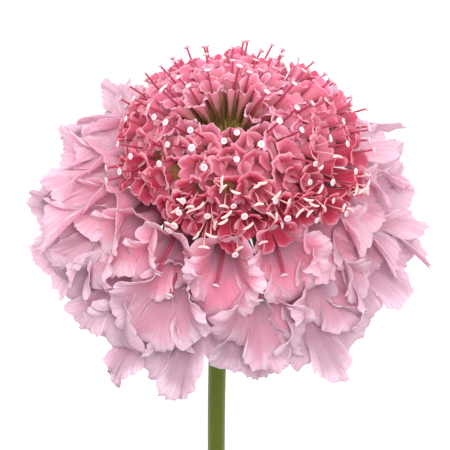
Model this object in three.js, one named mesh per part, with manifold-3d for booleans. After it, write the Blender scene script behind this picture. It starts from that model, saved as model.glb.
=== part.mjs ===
// A cut scabiosa (pincushion flower), lying on a flat surface on its petals and the end of its stem.
// Millimetres, +Z up. The bloom faces -Y and a little upwards, and the stem runs back along +Y.
// The pieces are shaped in the head's own frame: the origin is the middle of the dome's rim, +Z is the
// head's axis, out of the face, and -Y is the side that ends up on top. One group then lays them down.
import * as THREE from "three";
import { mergeVertices } from "three/addons/utils/BufferGeometryUtils.js";
import Module from "manifold-3d";

const wasm = await Module();
wasm.setup();

// ---- how the flower lies ----
const LIE_ANGLE = THREE.MathUtils.degToRad(15); // the head's axis above the surface
const HEART_HEIGHT = 32; // the middle of the dome's rim above the surface
const UP = new THREE.Vector3(0, -Math.cos(LIE_ANGLE), Math.sin(LIE_ANGLE)); // the surface's up, in the head's frame

// ---- the parts' own sizes ----
const GAP = 0.3; // between neighbouring pieces
const BLADE = 0.7; // thickness of petals and bracts
const ROUND = 20; // sides of the turned pieces
const DETAIL = 0.1; // smaller steps in a fused surface are smoothed away
const WELD = 0.0015; // nearer points of a finished piece become one

const RECEPTACLE = { top: 5, bottom: -11.3, radius: 5 };
const FUNNEL = { foot: 4.2, rise: 3, mouth: 4.6 }; // the hollow at the crown, over the receptacle
const STEM = { radius: 1.68, length: 140, sides: 10, steps: 20 };

// The dome of small florets: the surface that their mouths reach, and the bed of packed calyces that
// they stand in. The dome leans a little to one side.
const DOME = { radius: 23.6, height: 14.2, shift: 2.8 };
const BED = { radius: 17, height: 8.4, floor: -1.7 };
const DISC = {
  count: 62, inner: 12, rim: 88, crowd: 1.25, // how many, and their angles from the head's axis
  rootR: 5, rootZ: 3, // where their tubes start
  lobe: 2.85, notch: 1.5, neck: 0.8, opens: 4.6, wall: 0.8, throat: 2,
};
const PIN = { every: 0.5, reach: 3.2, radius: 0.36, knob: 0.75 };

// The skirt of large florets, in three whorls from the dome's rim down. Each floret is its azimuth in
// degrees and the reach of its three lobes. Each whorl is longer and hangs lower than the one above,
// and more so on the side that ends up on top.
const WHORLS = [
  {
    florets: [
      [-2, 26, 27, 26.5],
      [25, 25, 27, 26],
      [72, 28, 29, 28],
      [108, 29, 30, 29],
      [180, 26, 27, 26],
      [250, 29, 30, 29],
      [292, 27, 29, 27],
      [331, 26, 27.4, 25],
    ],
    throat: [17, -3.6], height: -7, lean: 4, stray: 1, fold: 7.5, spread: 17, ruffle: 1,
  },
  {
    florets: [
      [-23, 32, 34, 32],
      [12, 31, 33, 31],
      [40, 31, 33, 31],
      [80, 33, 34, 33],
      [122, 31, 31, 31],
      [182, 30, 31, 30],
      [240, 31, 31.5, 31],
      [297, 32, 33, 32],
    ],
    throat: [18.6, -7], height: -11, lean: 7.5, stray: 1.6, fold: 6, spread: 16.5, ruffle: 1.2,
  },
  {
    florets: [
      [-14, 38, 38, 25],
      [13, 30, 36.6, 34],
      [40, 35, 38, 37],
      [66, 37.6, 37, 37],
      [98, 36.6, 36.4, 35],
      [150, 34, 36, 36],
      [190, 35, 36, 35],
      [240, 34, 34.5, 35],
      [276, 36, 36, 36],
      [315, 37, 38, 37.5],
    ],
    throat: [19.2, -10], height: -14, lean: 9, stray: 1.6, fold: 4, spread: 16, ruffle: 1.2,
  },
];
const RAY_ROOT = { radius: 8.5, height: -5, follow: 0.35 };
const RAY = {
  neck: 1 / 3, throat: 1.9, level: 0.7, // the tube's share of a floret's length, and the trumpet's foot
  low: [-0.4, 0.4], sides: [1.15, 1.9], // how far round from below the lobes stand
  ahead: [0, 0.55, 1.1, 0.95], out: [0, 0.12, 0.5, 1], // how the trumpet opens
  round: 0.12, notch: 0.4, widen: 0.45, // a lobe's outline
  rows: 3, columns: 9, // facets of a floret
};
const PRESS = { clearance: -0.2, softness: 0.8 }; // how petals flatten against the surface

const BRACTS = { count: 11, half: 1.5, rootR: 5.4, rootZ: -9.5, outR: 11.5, outZ: -10, tipR: 12.5, tipZ: -25 };
const TUFT = { count: 18, length: 7.5, root: 0.65 };

const GOLDEN = Math.PI * (3 - Math.sqrt(5));
const rad = THREE.MathUtils.degToRad;
const mix = THREE.MathUtils.lerp;
const UP_HEAD = new THREE.Vector3(0, 0, 1);

// A seeded stream of numbers from 0 to 1.
function stream(seed) {
  let state = seed >>> 0;
  return () => {
    state = (Math.imul(state, 1664525) + 1013904223) >>> 0;
    return state / 4294967296;
  };
}

// ---- solids ----

// A closed geometry as a manifold solid, facing out. Points nearer than weld become one.
function solid(geometry, weld = 1e-4) {
  const bare = new THREE.BufferGeometry().setAttribute("position", geometry.getAttribute("position"));
  if (geometry.index) bare.setIndex(geometry.index);
  const merged = mergeVertices(bare, weld);
  const vertProperties = merged.attributes.position.array;
  const made = new wasm.Manifold(
    new wasm.Mesh({ numProp: 3, vertProperties, triVerts: new Uint32Array(merged.index.array) }),
  );
  if (made.volume() >= 0) return made;
  const turned = new Uint32Array(merged.index.array).reverse();
  return new wasm.Manifold(new wasm.Mesh({ numProp: 3, vertProperties, triVerts: turned }));
}

// The largest body of a solid: sealed hollows are filled and loose scraps are dropped.
const largest = (body) => body.decompose().reduce((best, piece) => (piece.volume() > best.volume() ? piece : best));

// Joins solids into one body.
const fuse = (solids) => largest(wasm.Manifold.union(solids).simplify(DETAIL));

// The part of a body that lies above the surface.
const aboveSurface = (body) => largest(body.trimByPlane(UP.toArray(), -HEART_HEIGHT).simplify(DETAIL));

// The part of a body that is clear of a neighbour's room.
const clearOf = (body, room) => largest(body.subtract(room).simplify(DETAIL));

function geometryOf(body) {
  const { numProp, vertProperties, triVerts } = body.getMesh();
  const points = new Float32Array((vertProperties.length / numProp) * 3);
  for (let i = 0; i < points.length / 3; i += 1) {
    points.set(vertProperties.subarray(i * numProp, i * numProp + 3), i * 3);
  }
  const geometry = new THREE.BufferGeometry();
  geometry.setAttribute("position", new THREE.BufferAttribute(points, 3));
  geometry.setIndex(new THREE.BufferAttribute(triVerts, 1));
  return geometry;
}

function meshOf(name, body, look) {
  const geometry = geometryOf(largest(solid(geometryOf(body), WELD)));
  const mesh = new THREE.Mesh(geometry, new THREE.MeshStandardMaterial(look));
  mesh.name = name;
  return mesh;
}

// A profile of [radius, height] pairs turned round the head's axis.
function turned(profile, sides = ROUND) {
  const lathe = new THREE.LatheGeometry(
    profile.map(([r, z]) => new THREE.Vector2(r, z)),
    sides,
  );
  return solid(lathe.rotateX(Math.PI / 2));
}

// A thin closed blade round the middle surface at(u, v), with the same diagonals on both faces.
function blade(at, rows, columns, thickness = BLADE) {
  const middle = [];
  for (let i = 0; i <= rows; i += 1) {
    for (let j = 0; j <= columns; j += 1) middle.push(at(i / rows, (2 * j) / columns - 1));
  }
  const width = columns + 1;
  const point = (i, j) => middle[i * width + j];
  const along = new THREE.Vector3();
  const across = new THREE.Vector3();
  const faces = [[], []];
  for (let i = 0; i <= rows; i += 1) {
    for (let j = 0; j <= columns; j += 1) {
      along.subVectors(point(Math.min(i + 1, rows), j), point(Math.max(i - 1, 0), j));
      across.subVectors(point(i, Math.min(j + 1, columns)), point(i, Math.max(j - 1, 0)));
      const normal = new THREE.Vector3().crossVectors(across, along).setLength(thickness / 2);
      faces[0].push(...point(i, j).clone().add(normal).toArray());
      faces[1].push(...point(i, j).clone().sub(normal).toArray());
    }
  }
  const under = middle.length;
  const index = [];
  const quad = (a, b, c, d) => index.push(a, b, c, a, c, d);
  for (let i = 0; i < rows; i += 1) {
    for (let j = 0; j < columns; j += 1) {
      const [a, b, c, d] = [i * width + j, i * width + j + 1, (i + 1) * width + j + 1, (i + 1) * width + j];
      index.push(a, b, c, a, c, d, under + a, under + c, under + b, under + a, under + d, under + c);
    }
  }
  for (let j = 0; j < columns; j += 1) {
    const last = rows * width + j;
    quad(j + 1, j, under + j, under + j + 1);
    quad(last, last + 1, under + last + 1, under + last);
  }
  for (let i = 0; i < rows; i += 1) {
    const [left, right] = [i * width, i * width + columns];
    quad(left, left + width, under + left + width, under + left);
    quad(right + width, right, under + right, under + right + width);
  }
  const geometry = new THREE.BufferGeometry();
  geometry.setAttribute("position", new THREE.BufferAttribute(new Float32Array([...faces[0], ...faces[1]]), 3));
  geometry.setIndex(index);
  return solid(geometry);
}

// Rings of points joined in order and closed by a point at each end, as a solid.
function closedRings(first, rings, last) {
  const points = [first, ...rings.flat(), last];
  const index = [];
  let start = 1;
  rings.forEach((ring, n) => {
    const sides = ring.length;
    for (let j = 0; j < sides; j += 1) {
      const [a, b] = [start + j, start + ((j + 1) % sides)];
      if (n === 0) index.push(0, b, a);
      if (n === rings.length - 1) index.push(points.length - 1, a, b);
      else if (rings[n + 1].length === sides) index.push(a, b, b + sides, a, b + sides, a + sides);
      else {
        // the next ring has twice the points: each side spreads to two
        const next = start + sides;
        const [c, d, e] = [2 * j, 2 * j + 1, (2 * j + 2) % (2 * sides)].map((k) => next + k);
        index.push(a, b, d, a, d, c, b, e, d);
      }
    }
    start += sides;
  });
  const geometry = new THREE.BufferGeometry().setFromPoints(points);
  geometry.setIndex(index);
  return solid(geometry);
}

// ---- directions on the head ----

// The unit vector away from the axis at an azimuth, which is 0 on the side that ends up on top.
const outward = (azimuth) => new THREE.Vector3(Math.sin(azimuth), -Math.cos(azimuth), 0);

// The point at a radius and height on the head, at an azimuth.
const onHead = (azimuth, radius, height) => outward(azimuth).multiplyScalar(radius).setZ(height);

// A ring of points round an axis, at a distance along it.
function ringOf(start, axis, [e1, e2], count, radiusAt, along) {
  return Array.from({ length: count }, (_, k) => {
    const angle = (2 * Math.PI * k) / count;
    return start
      .clone()
      .addScaledVector(axis, along)
      .addScaledVector(e1, radiusAt(k) * Math.cos(angle))
      .addScaledVector(e2, radiusAt(k) * Math.sin(angle));
  });
}

// Two unit vectors across an axis.
function acrossAxis(axis, spin) {
  const first = new THREE.Vector3(0, 0, 1).cross(axis);
  if (first.lengthSq() < 1e-6) first.set(1, 0, 0);
  first.normalize().applyAxisAngle(axis, spin);
  return [first, new THREE.Vector3().crossVectors(axis, first)];
}

// A point moved up where it would lie on or under the surface.
function pressed(point) {
  const height = HEART_HEIGHT + point.dot(UP) - PRESS.clearance;
  const raised = PRESS.softness * Math.log(1 + Math.exp(height / PRESS.softness));
  return point.addScaledVector(UP, raised - height);
}

// ---- stem, receptacle and bracts ----

function stemPath() {
  const endY = (HEART_HEIGHT - STEM.radius + 0.1 - (STEM.length - RECEPTACLE.bottom) * UP.z) / -UP.y;
  return new THREE.CubicBezierCurve3(
    new THREE.Vector3(0, 0, RECEPTACLE.bottom - GAP),
    new THREE.Vector3(-3.4, 0, -50),
    new THREE.Vector3(-2.2, endY * 0.4, -105),
    new THREE.Vector3(-1.5, endY, RECEPTACLE.bottom - STEM.length),
  );
}

function makeStem() {
  const section = new THREE.Shape(
    new THREE.EllipseCurve(0, 0, STEM.radius, STEM.radius).getPoints(STEM.sides).slice(0, STEM.sides),
  );
  const tube = new THREE.ExtrudeGeometry(section, { steps: STEM.steps, extrudePath: stemPath() });
  return aboveSurface(solid(tube));
}

function makeReceptacle() {
  const { top, bottom, radius } = RECEPTACLE;
  return turned([
    [0, bottom],
    [2.1, bottom],
    [3.1, bottom + 1.1],
    [4.5, bottom + 2.8],
    [radius, bottom + 4.4],
    [radius, top - 3.2],
    [4.2, top - 1.5],
    [2.5, top - 0.4],
    [0, top],
  ]);
}

function bract(azimuth, length, sideways) {
  const { half, rootR, rootZ, outR, outZ, tipR, tipZ } = BRACTS;
  const path = new THREE.QuadraticBezierCurve(
    new THREE.Vector2(rootR, rootZ),
    new THREE.Vector2(outR, outZ),
    new THREE.Vector2(tipR, mix(rootZ, tipZ, length)),
  );
  return blade(
    (u, v) => {
      const line = path.getPoint(u);
      const width = half * (0.12 + 0.88 * Math.sin(Math.PI * (0.18 + 0.82 * u)));
      const around = azimuth + sideways * u * u;
      const side = outward(azimuth + Math.PI / 2).multiplyScalar(width * v);
      return onHead(around, line.x, line.y + 0.25 * Math.abs(v)).add(side);
    },
    3,
    2,
  );
}

function makeInvolucre() {
  const random = stream(6);
  const collar = turned([
    [3.4, -10.4],
    [5.3, -8.6],
    [6.4, -8.6],
    [6.6, -9.3],
    [4.4, -11],
    [3.4, -10.9],
    [3.4, -10.4],
  ]);
  const parts = [collar];
  for (let k = 0; k < BRACTS.count; k += 1) {
    const azimuth = (2 * Math.PI * (k + 0.3 * (random() - 0.5))) / BRACTS.count;
    parts.push(bract(azimuth, mix(0.7, 1, random()), mix(-0.25, 0.25, random())));
  }
  return fuse(parts);
}

// ---- the skirt of large florets ----

// How far the skirt hangs at an azimuth: most on the side that ends up on top, least at the two sides.
const hang = (azimuth) =>
  0.7 * Math.cos(azimuth) + 0.33 * Math.cos(2 * azimuth) + 0.15 * Math.sin(azimuth) - 0.03;

// Every large floret as its root, its throat and the tips of its three lobes.
function rayFlorets() {
  const random = stream(42);
  const about = (value, share) => value * mix(1 - share, 1 + share, random());
  return WHORLS.flatMap(({ florets, throat, height, lean, stray, fold, spread, ruffle }) =>
    florets.map(([degrees, ...reaches]) => {
      const azimuth = rad(degrees);
      const own = mix(-1, 1, random()) * stray;
      const lobes = reaches.map((reach, k) => {
        const towards = azimuth + (k - 1) * rad(about(spread, 0.1));
        const drop = own + mix(-1.5, 1.5, random()) + fold * (Math.abs(k - 1) - 0.35);
        return { tip: onHead(towards, reach, height - lean * hang(towards) + drop), ruffle: about(ruffle, 0.4) };
      });
      const level = throat[1] - 0.25 * lean * hang(azimuth);
      const root = onHead(azimuth, RAY_ROOT.radius, mix(RAY_ROOT.height, level, RAY_ROOT.follow));
      return trumpet({ azimuth, root, throat: onHead(azimuth, throat[0], level), lobes });
    }),
  );
}

// A floret with its axis and, for each lobe, its angle round the axis from below, and how far ahead and
// how far out its tip lies.
function trumpet(floret) {
  const { azimuth, throat, lobes } = floret;
  const ahead = lobes[0].tip.clone().add(lobes[2].tip).multiplyScalar(0.5).sub(throat);
  ahead.z *= RAY.level;
  ahead.normalize();
  const up = UP_HEAD.clone().addScaledVector(ahead, -ahead.z).normalize();
  const right = ahead.clone().cross(up);
  right.multiplyScalar(Math.sign(right.dot(outward(azimuth + Math.PI / 2))));
  lobes.forEach((lobe, k) => {
    const beyond = lobe.tip.clone().sub(throat);
    const angle = Math.atan2(beyond.dot(right), -beyond.dot(up));
    const [low, high] = [RAY.sides.map((side) => -side).reverse(), RAY.low, RAY.sides][k];
    lobe.angle = THREE.MathUtils.clamp(angle, low, high);
    lobe.reach = beyond.dot(ahead);
    lobe.mouth = Math.hypot(beyond.dot(right), beyond.dot(up));
  });
  return { ...floret, ahead, up, right };
}

// A value on a cubic Bezier curve.
const curve = (values, t) =>
  values.reduce((sum, value, k) => sum + value * [1, 3, 3, 1][k] * t ** k * (1 - t) ** (3 - k), 0);

// A point of a floret's middle surface, u from its root to its edge and v across its three lobes.
function rayPoint({ root, throat, lobes, ahead, up, right }, u, v) {
  const place = Math.max(-1, Math.min(1, Math.round(1.5 * v))) + 1;
  const local = 3 * v - 2 * (place - 1);
  const next = lobes[place + Math.sign(local)];
  const shared = Math.abs(local) > 0.99 && next; // where two lobes meet
  const edge = 1 - (shared ? RAY.notch : RAY.round) * Math.abs(local) ** 2.2;
  const across = Math.sign(local) * Math.abs(local) ** mix(1, RAY.widen, u * u);
  const t = (edge * Math.max(0, u - RAY.neck)) / (1 - RAY.neck);
  const lobe = lobes[place];
  const share = THREE.MathUtils.smoothstep(Math.abs(across) / 2, 0, 1);
  const blend = (key) => mix(lobe[key], (next ?? lobe)[key], share);
  const angle = next ? mix(lobe.angle, next.angle, Math.abs(across) / 2) : lobe.angle + 0.7 * across;
  const radius = RAY.throat + curve(RAY.out, t) * (blend("mouth") - RAY.throat);
  const wave = blend("ruffle") * t * t * Math.cos(2 * Math.PI * local);
  const back = Math.max(0, 1 - u / RAY.neck);
  const point = throat
    .clone()
    .addScaledVector(ahead, curve(RAY.ahead, t) * blend("reach") + wave)
    .addScaledVector(up, -radius * Math.cos(angle))
    .addScaledVector(right, radius * Math.sin(angle))
    .addScaledVector(root.clone().sub(throat), back);
  return pressed(point);
}

function makeRayFlorets(florets, room) {
  const ring = turned([
    [RECEPTACLE.radius + GAP, -8.2],
    [7.4, -8.2],
    [9.8, -7],
    [10.8, -5],
    [10.2, -3],
    [8, -2.3],
    [RECEPTACLE.radius + GAP, -2.3],
    [RECEPTACLE.radius + GAP, -8.2],
  ]);
  const blades = florets.map((floret) => blade((u, v) => rayPoint(floret, u, v), RAY.rows, RAY.columns));
  return aboveSurface(clearOf(fuse([ring, ...blades]), room));
}

// ---- the dome of small florets ----

function discFlorets() {
  const random = stream(11);
  return Array.from({ length: DISC.count }, (_, k) => {
    const share = 1 - (1 - (k + 0.5) / DISC.count) ** DISC.crowd;
    const polar = Math.acos(mix(Math.cos(rad(DISC.rim)), Math.cos(rad(DISC.inner)), share));
    const azimuth = k * GOLDEN + 0.25 * (random() - 0.5);
    const mouth = onHead(azimuth, DOME.radius * Math.sin(polar), DOME.height * Math.cos(polar));
    mouth.x += DOME.shift * Math.sin(polar) ** 2;
    const root = onHead(azimuth, DISC.rootR * Math.sin(polar), DISC.rootZ * Math.cos(polar));
    const axis = mouth.sub(root);
    const length = axis.length() * mix(0.88, 1.01, random());
    return {
      root,
      axis: axis.normalize(),
      length,
      spin: 2 * Math.PI * random(),
      size: mix(0.88, 1.15, random()) * mix(0.85, 1.12, Math.sin(polar)),
      flare: mix(-0.7, 0.9, random()),
      pin: random() < PIN.every ? mix(0.7, 1.2, random()) : 0,
      pinLean: mix(-0.16, 0.16, random()),
    };
  });
}

// A small trumpet: a thin neck that opens into four lobes round a hollow throat.
function discFloret({ root, axis, length, spin, size, flare }) {
  const across = acrossAxis(axis, spin);
  const rim = (inset, along) => {
    const tips = ringOf(root, axis, across, 8, () => DISC.lobe * size - inset, length + along + flare);
    const notches = ringOf(root, axis, across, 8, () => DISC.notch * size - inset, length + along);
    return tips.map((tip, k) => (k % 2 === 1 ? tip : notches[k]));
  };
  const neck = ringOf(root, axis, across, 4, () => DISC.neck, length - DISC.opens);
  const inside = root.clone().addScaledVector(axis, length - DISC.throat);
  return closedRings(root.clone(), [neck, rim(0, -DISC.wall), rim(0.1, 0)], inside);
}

// A style that stands out of a small floret, with its round stigma.
function pin({ root, axis, length, spin, pin: size, pinLean }) {
  const lean = axis.clone().addScaledVector(acrossAxis(axis, spin)[0], pinLean).normalize();
  const start = root.clone().addScaledVector(axis, length - DISC.opens);
  const end = DISC.opens + PIN.reach * size;
  const ring = (radius, along) => ringOf(start, lean, acrossAxis(lean, 0), 3, () => radius, along);
  const rings = [ring(PIN.radius, 0.3), ring(PIN.radius, end), ring(PIN.knob, end + PIN.knob)];
  return closedRings(start, rings, start.clone().addScaledVector(lean, end + PIN.knob * 1.8));
}

function makeDiscFlorets(florets, room) {
  const inner = RECEPTACLE.radius + GAP;
  const bed = turned([
    [inner, BED.floor],
    [BED.radius - 2, BED.floor],
    [BED.radius, BED.floor + 1.5],
    [BED.radius - 1, BED.floor + 5],
    [BED.radius - 4, BED.height - 1],
    [BED.radius - 8, BED.height - 1.6],
    [inner, BED.height - 3],
    [inner, BED.floor],
  ]);
  const pins = florets.filter((floret) => floret.pin > 0).map(pin);
  return clearOf(fuse([bed, ...florets.map(discFloret), ...pins]), room);
}

// ---- who has which room ----

// The border between the skirt below and the dome above, and the heart of the head: the receptacle and
// the funnel over it. A piece keeps clear of a neighbour's room with the gap added.
const BORDER = [
  [0, -2.3],
  [14, -2.3],
  [23, -1.5],
  [27.5, 3.6],
  [60, 14],
];
const domeRoom = () => turned([...BORDER, [60, 60], [0, 60]]);
const skirtRoom = (gap) => turned([...BORDER.map(([r, z]) => [r, z + gap]), [60, -40], [0, -40]]);
const heartRoom = (gap) =>
  turned([
    [0, RECEPTACLE.bottom],
    [RECEPTACLE.radius + gap, RECEPTACLE.bottom],
    [RECEPTACLE.radius + gap, RECEPTACLE.top],
    [FUNNEL.foot + gap, RECEPTACLE.top + FUNNEL.rise],
    [FUNNEL.mouth + gap, 30],
    [0, 30],
  ]);

// ---- the bristles at the crown ----

function makeCrownBristles() {
  const random = stream(23);
  const { top } = RECEPTACLE;
  const cap = turned([
    [0, top + GAP],
    [2.6, top - 0.1],
    [4.3, top - 1.2],
    [4.9, top - 0.6],
    [4.6, top + 0.9],
    [2.8, top + 2.2],
    [0, top + 2.8],
  ]);
  const spikes = [];
  for (let k = 0; k < TUFT.count; k += 1) {
    const radius = FUNNEL.foot * Math.sqrt((k + 0.5) / TUFT.count);
    const start = onHead(k * GOLDEN, radius, top + 0.6);
    const lean = 0.05 + 0.05 * radius * random();
    const axis = onHead(k * GOLDEN + random() - 0.5, Math.sin(lean), Math.cos(lean));
    const foot = ringOf(start, axis, acrossAxis(axis, 0), 3, () => TUFT.root, 0);
    const tip = start.clone().addScaledVector(axis, TUFT.length * mix(0.75, 1.1, random()));
    spikes.push(closedRings(start.clone().addScaledVector(axis, -0.3), [foot], tip));
  }
  return largest(fuse([cap, ...spikes]).intersect(heartRoom(0)));
}

// ---- the whole flower ----

const GREEN = { color: 0x66742a, roughness: 0.6, metalness: 0 };
const looks = {
  stem: GREEN,
  receptacle: { color: 0x7c8440, roughness: 0.7, metalness: 0 },
  involucre: { color: 0x4f5a24, roughness: 0.7, metalness: 0 },
  crown_bristles: { color: 0x6f5f34, roughness: 0.7, metalness: 0 },
  disc_florets: { color: 0xdd6485, roughness: 0.6, metalness: 0 },
  ray_florets: { color: 0xe6b4c8, roughness: 0.6, metalness: 0 },
};

const flower = new THREE.Group();
flower.add(
  meshOf("stem", makeStem(), looks.stem),
  meshOf("receptacle", makeReceptacle(), looks.receptacle),
  meshOf("involucre", makeInvolucre(), looks.involucre),
  meshOf("crown_bristles", makeCrownBristles(), looks.crown_bristles),
  meshOf("disc_florets", makeDiscFlorets(discFlorets(), skirtRoom(GAP).add(heartRoom(GAP))), looks.disc_florets),
  meshOf("ray_florets", makeRayFlorets(rayFlorets(), domeRoom()), looks.ray_florets),
);

// Lays the flower down and puts the origin on the surface, under the middle of the bounding box.
flower.quaternion.setFromRotationMatrix(
  new THREE.Matrix4().makeBasis(
    new THREE.Vector3(-1, 0, 0),
    new THREE.Vector3(0, -Math.sin(LIE_ANGLE), -Math.cos(LIE_ANGLE)),
    new THREE.Vector3(0, -Math.cos(LIE_ANGLE), Math.sin(LIE_ANGLE)),
  ),
);
flower.updateMatrixWorld(true);
const middle = new THREE.Box3().setFromObject(flower, true).getCenter(new THREE.Vector3());
flower.position.set(-middle.x, -middle.y, HEART_HEIGHT);

export default flower;
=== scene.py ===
"""A cut scabiosa (pincushion flower) that lies on a pale floor.

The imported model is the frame. Finer pieces replace its solids, by rules much like theirs. They are
shaped in the head's own frame, in millimetres: the origin is the middle of the dome's rim, +Z is the
head's axis, out of the face, and -Y is the side that ends up on top. A Patchwork lays each piece down
and turns it into one Blender mesh.
"""
import math

import bpy
import numpy as np
from mathutils import Matrix, Vector


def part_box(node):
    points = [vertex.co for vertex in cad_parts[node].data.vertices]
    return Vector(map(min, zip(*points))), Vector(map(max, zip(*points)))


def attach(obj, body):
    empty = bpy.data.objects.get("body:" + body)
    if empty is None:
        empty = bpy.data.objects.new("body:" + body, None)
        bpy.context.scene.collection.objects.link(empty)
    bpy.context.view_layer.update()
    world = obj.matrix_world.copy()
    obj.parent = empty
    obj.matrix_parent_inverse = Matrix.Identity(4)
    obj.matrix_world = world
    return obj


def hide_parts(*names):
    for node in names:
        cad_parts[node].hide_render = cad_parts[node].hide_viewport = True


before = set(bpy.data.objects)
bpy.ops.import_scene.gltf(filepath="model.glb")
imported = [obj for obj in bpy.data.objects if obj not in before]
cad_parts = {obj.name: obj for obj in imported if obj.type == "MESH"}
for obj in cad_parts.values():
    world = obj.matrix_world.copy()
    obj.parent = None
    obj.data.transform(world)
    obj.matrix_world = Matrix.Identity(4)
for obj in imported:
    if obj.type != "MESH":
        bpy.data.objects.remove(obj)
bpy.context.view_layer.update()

MM = 0.001

# ---- how the flower lies ----
LIE_ANGLE = math.radians(15)  # the head's axis above the floor
HEAD_AXES = np.array([  # the head's X, Y and Z in the world
    [-1, 0, 0],
    [0, -math.sin(LIE_ANGLE), -math.cos(LIE_ANGLE)],
    [0, -math.cos(LIE_ANGLE), math.sin(LIE_ANGLE)],
])
FLOOR_UP = HEAD_AXES[:, 2]  # the world's up, in the head's frame
UP = np.array([0.0, 0.0, 1.0])

# ---- the parts' own sizes, in millimetres, shares and radians, and in degrees where it says so ----
RECEPTACLE = [  # (radius, height), from the stem upwards
    (0, -11.3), (2.1, -11.3), (3.1, -10.2), (4.5, -8.5), (5, -6.9), (5, 1.8), (4.2, 3.5), (2.5, 4.6), (0, 5),
]
STEM = {"radius": 1.68, "length": 140, "top": -11.6, "hollow": 0.55, "sink": 0.1}
BRACTS = {
    "count": 11, "shortest": 0.7, "stray": 0.3, "sideways": 0.25, "width": 1.5, "thick": 0.3, "dish": 0.35,
}
DOME = {"radius": 23.6, "height": 14.2, "shift": 2.8}
CROWN = {"count": 70, "radius": 4.3, "foot": 5.2}

# Three whorls of large florets, from the dome outwards: azimuths in degrees, each with the reach of its
# three lobes. Those in "florets" stand for the solids', and those in "between" fill the gaps. Lobes
# stand "spread" degrees apart.
WHORLS = [
    {
        "florets": [
            (-2, 26, 27, 26.5), (25, 25, 27, 26), (72, 28, 29, 28), (108, 29, 30, 29),
            (180, 26, 27, 26), (250, 29, 30, 29), (292, 27, 29, 27), (331, 26, 27.4, 25),
        ],
        "between": [
            (50, 26.5, 28, 26.5), (144, 27, 28, 27), (215, 27, 28, 27), (272, 31, 32, 33.4),
            (312, 26, 28, 26.5),
        ],
        "throat": (17, -3.6), "height": -7, "lean": 4,
        "stray": 1, "fold": 7.5, "spread": 17, "ruffle": 1,
    },
    {
        "florets": [
            (-23, 32, 34, 32), (12, 31, 33, 31), (40, 31, 33, 31), (80, 33, 34, 33),
            (122, 31, 31, 31), (182, 30, 31, 30), (240, 31, 31.5, 31), (297, 32, 33, 32),
        ],
        "between": [(60, 32, 33, 32), (152, 31, 32, 31), (212, 31, 32, 31)],
        "throat": (18.6, -7), "height": -11, "lean": 7.5,
        "stray": 1.6, "fold": 6, "spread": 16.5, "ruffle": 1.2,
    },
    {
        "florets": [
            (-10, 34.6, 37.8, 24.4), (9.4, 30.6, 33, 31.4), (31, 33.4, 37.2, 34.6), (60, 36.4, 37.4, 34.4),
            (94.5, 34.8, 36, 34.4), (148, 37, 37, 36), (190, 35, 36, 35), (240, 33, 34.6, 32.4),
            (288, 35.6, 35.2, 33), (315, 37, 38, 37.5),
        ],
        "between": [(121, 30, 35, 36.4), (217, 35, 37, 33.4), (286, 34, 35.6, 34), (331, 34, 42, 30)],
        "throat": (19.2, -10), "height": -14, "lean": 9,
        "stray": 1.6, "fold": 4, "spread": 16, "ruffle": 1.2,
    },
]
WHORL_NAMES = ("upper_ray_petals", "middle_ray_petals", "outer_ray_petals")
WHORL_AGES_AND_SHADE = (0.0, 0.55, 1.0)  # of each whorl, for its colour; the outer whorls' greyer ramp is partly painted shade
HANG = {"once": 0.7, "twice": 0.33, "aside": 0.15, "rise": 0.03}  # waves round the head, and a rise
RAY_ROOT = {"radius": 8.5, "height": -5, "follow": 0.35}
LOBE_STRAY = {"spread": 0.1, "drop": 1.5, "ruffle": 0.4}

# Each pair holds for a large floret on the side that ends up on top, and for one from the two sides on,
# which is a flatter fan than its solid. "inner" and "outer" limit the angle at which a side lobe stands,
# and "start", "end", "early" and "late" bend a lobe ahead and outwards.
FAN = {
    "spread": (1, 1.3), "fold": (1, 0.3), "reach": (1, 1.055), "ruffle": (1, 0.7), "squash": (1, 0.4),
    "inner": (1.15, 0.75), "outer": (1.9, 0.85), "start": (0.55, 0.42), "end": (1.1, 0.8),
    "early": (0.12, 0.3), "late": (0.5, 0.66), "round": (4.5, 2.8),
}
TRUMPET = {"flatten": 0.7, "middle": 0.4, "middle_mouth": 5, "lip_angle": 2.62, "lip_border": 1.45}

# How a lobe is cut out of its trumpet. Each of the waves has its turns, its drift and its height.
RAY_CUT = {
    "throat": 1.4, "thick": 0.1, "notch": 0.55, "widen": 0.45, "layer": 0.5, "rows": 24, "columns": 42,
    "teeth": 5, "tooth": 0.04, "fine": 0.03, "broad": 0.035, "pleats": 11, "pleat": 0.07,
    "waves": ((1.0, 2, 0.5), (2.4, 4, 0.4), (4.5, 7, 0.3), (9, 12, 0.2)),
}
RAY_LIP = dict(RAY_CUT, rows=12, columns=14, widen=0.3, layer=0, teeth=2, pleat=0,
               waves=((1.0, 2, 0.3), (2.2, 4, 0.3), (4.5, 7, 0.15)))
DISC_CUT = {
    "throat": 0.6, "thick": 0.08, "notch": 0.42, "widen": 0.3, "layer": 0.15, "rows": 10, "columns": 9,
    "teeth": 1.5, "tooth": 0.05, "fine": 0.02, "broad": 0.06, "pleats": 2, "pleat": 0.05,
    "waves": ((0.9, 2, 0.22), (1.8, 4, 0.2), (3, 6, 0.1)),
}
STAR_CUT = dict(DISC_CUT, notch=0.26, widen=-0.1, broad=0.03)
CROWDING = 0.45  # of a lobe's columns towards its two sides: 0 is none, 0.5 the most

# The small florets stand from "inner" to "rim", in degrees from the crown, but for "gap" in front of it.
# Stamens stand out of those past "from" degrees that face the camera, but for the ones at the left.
DISC = {
    "count": 146, "inner": 12, "gap": 22, "rim": 88, "old_from": 62, "crowd": 1.25,
    "root_radius": 5, "root_height": 3, "pins": 0.72,
}
STAMENS = {"from": 50, "front": 0.1, "left": -0.4, "most": 3}
GOLDEN = math.pi * (3 - math.sqrt(5))


# ---- numbers and directions ----

def stream(seed):
    """Seeded numbers from 0 to 1."""
    state = seed

    def draw():
        nonlocal state
        state = (state * 1664525 + 1013904223) % 2**32
        return state / 2**32

    return draw


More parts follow.
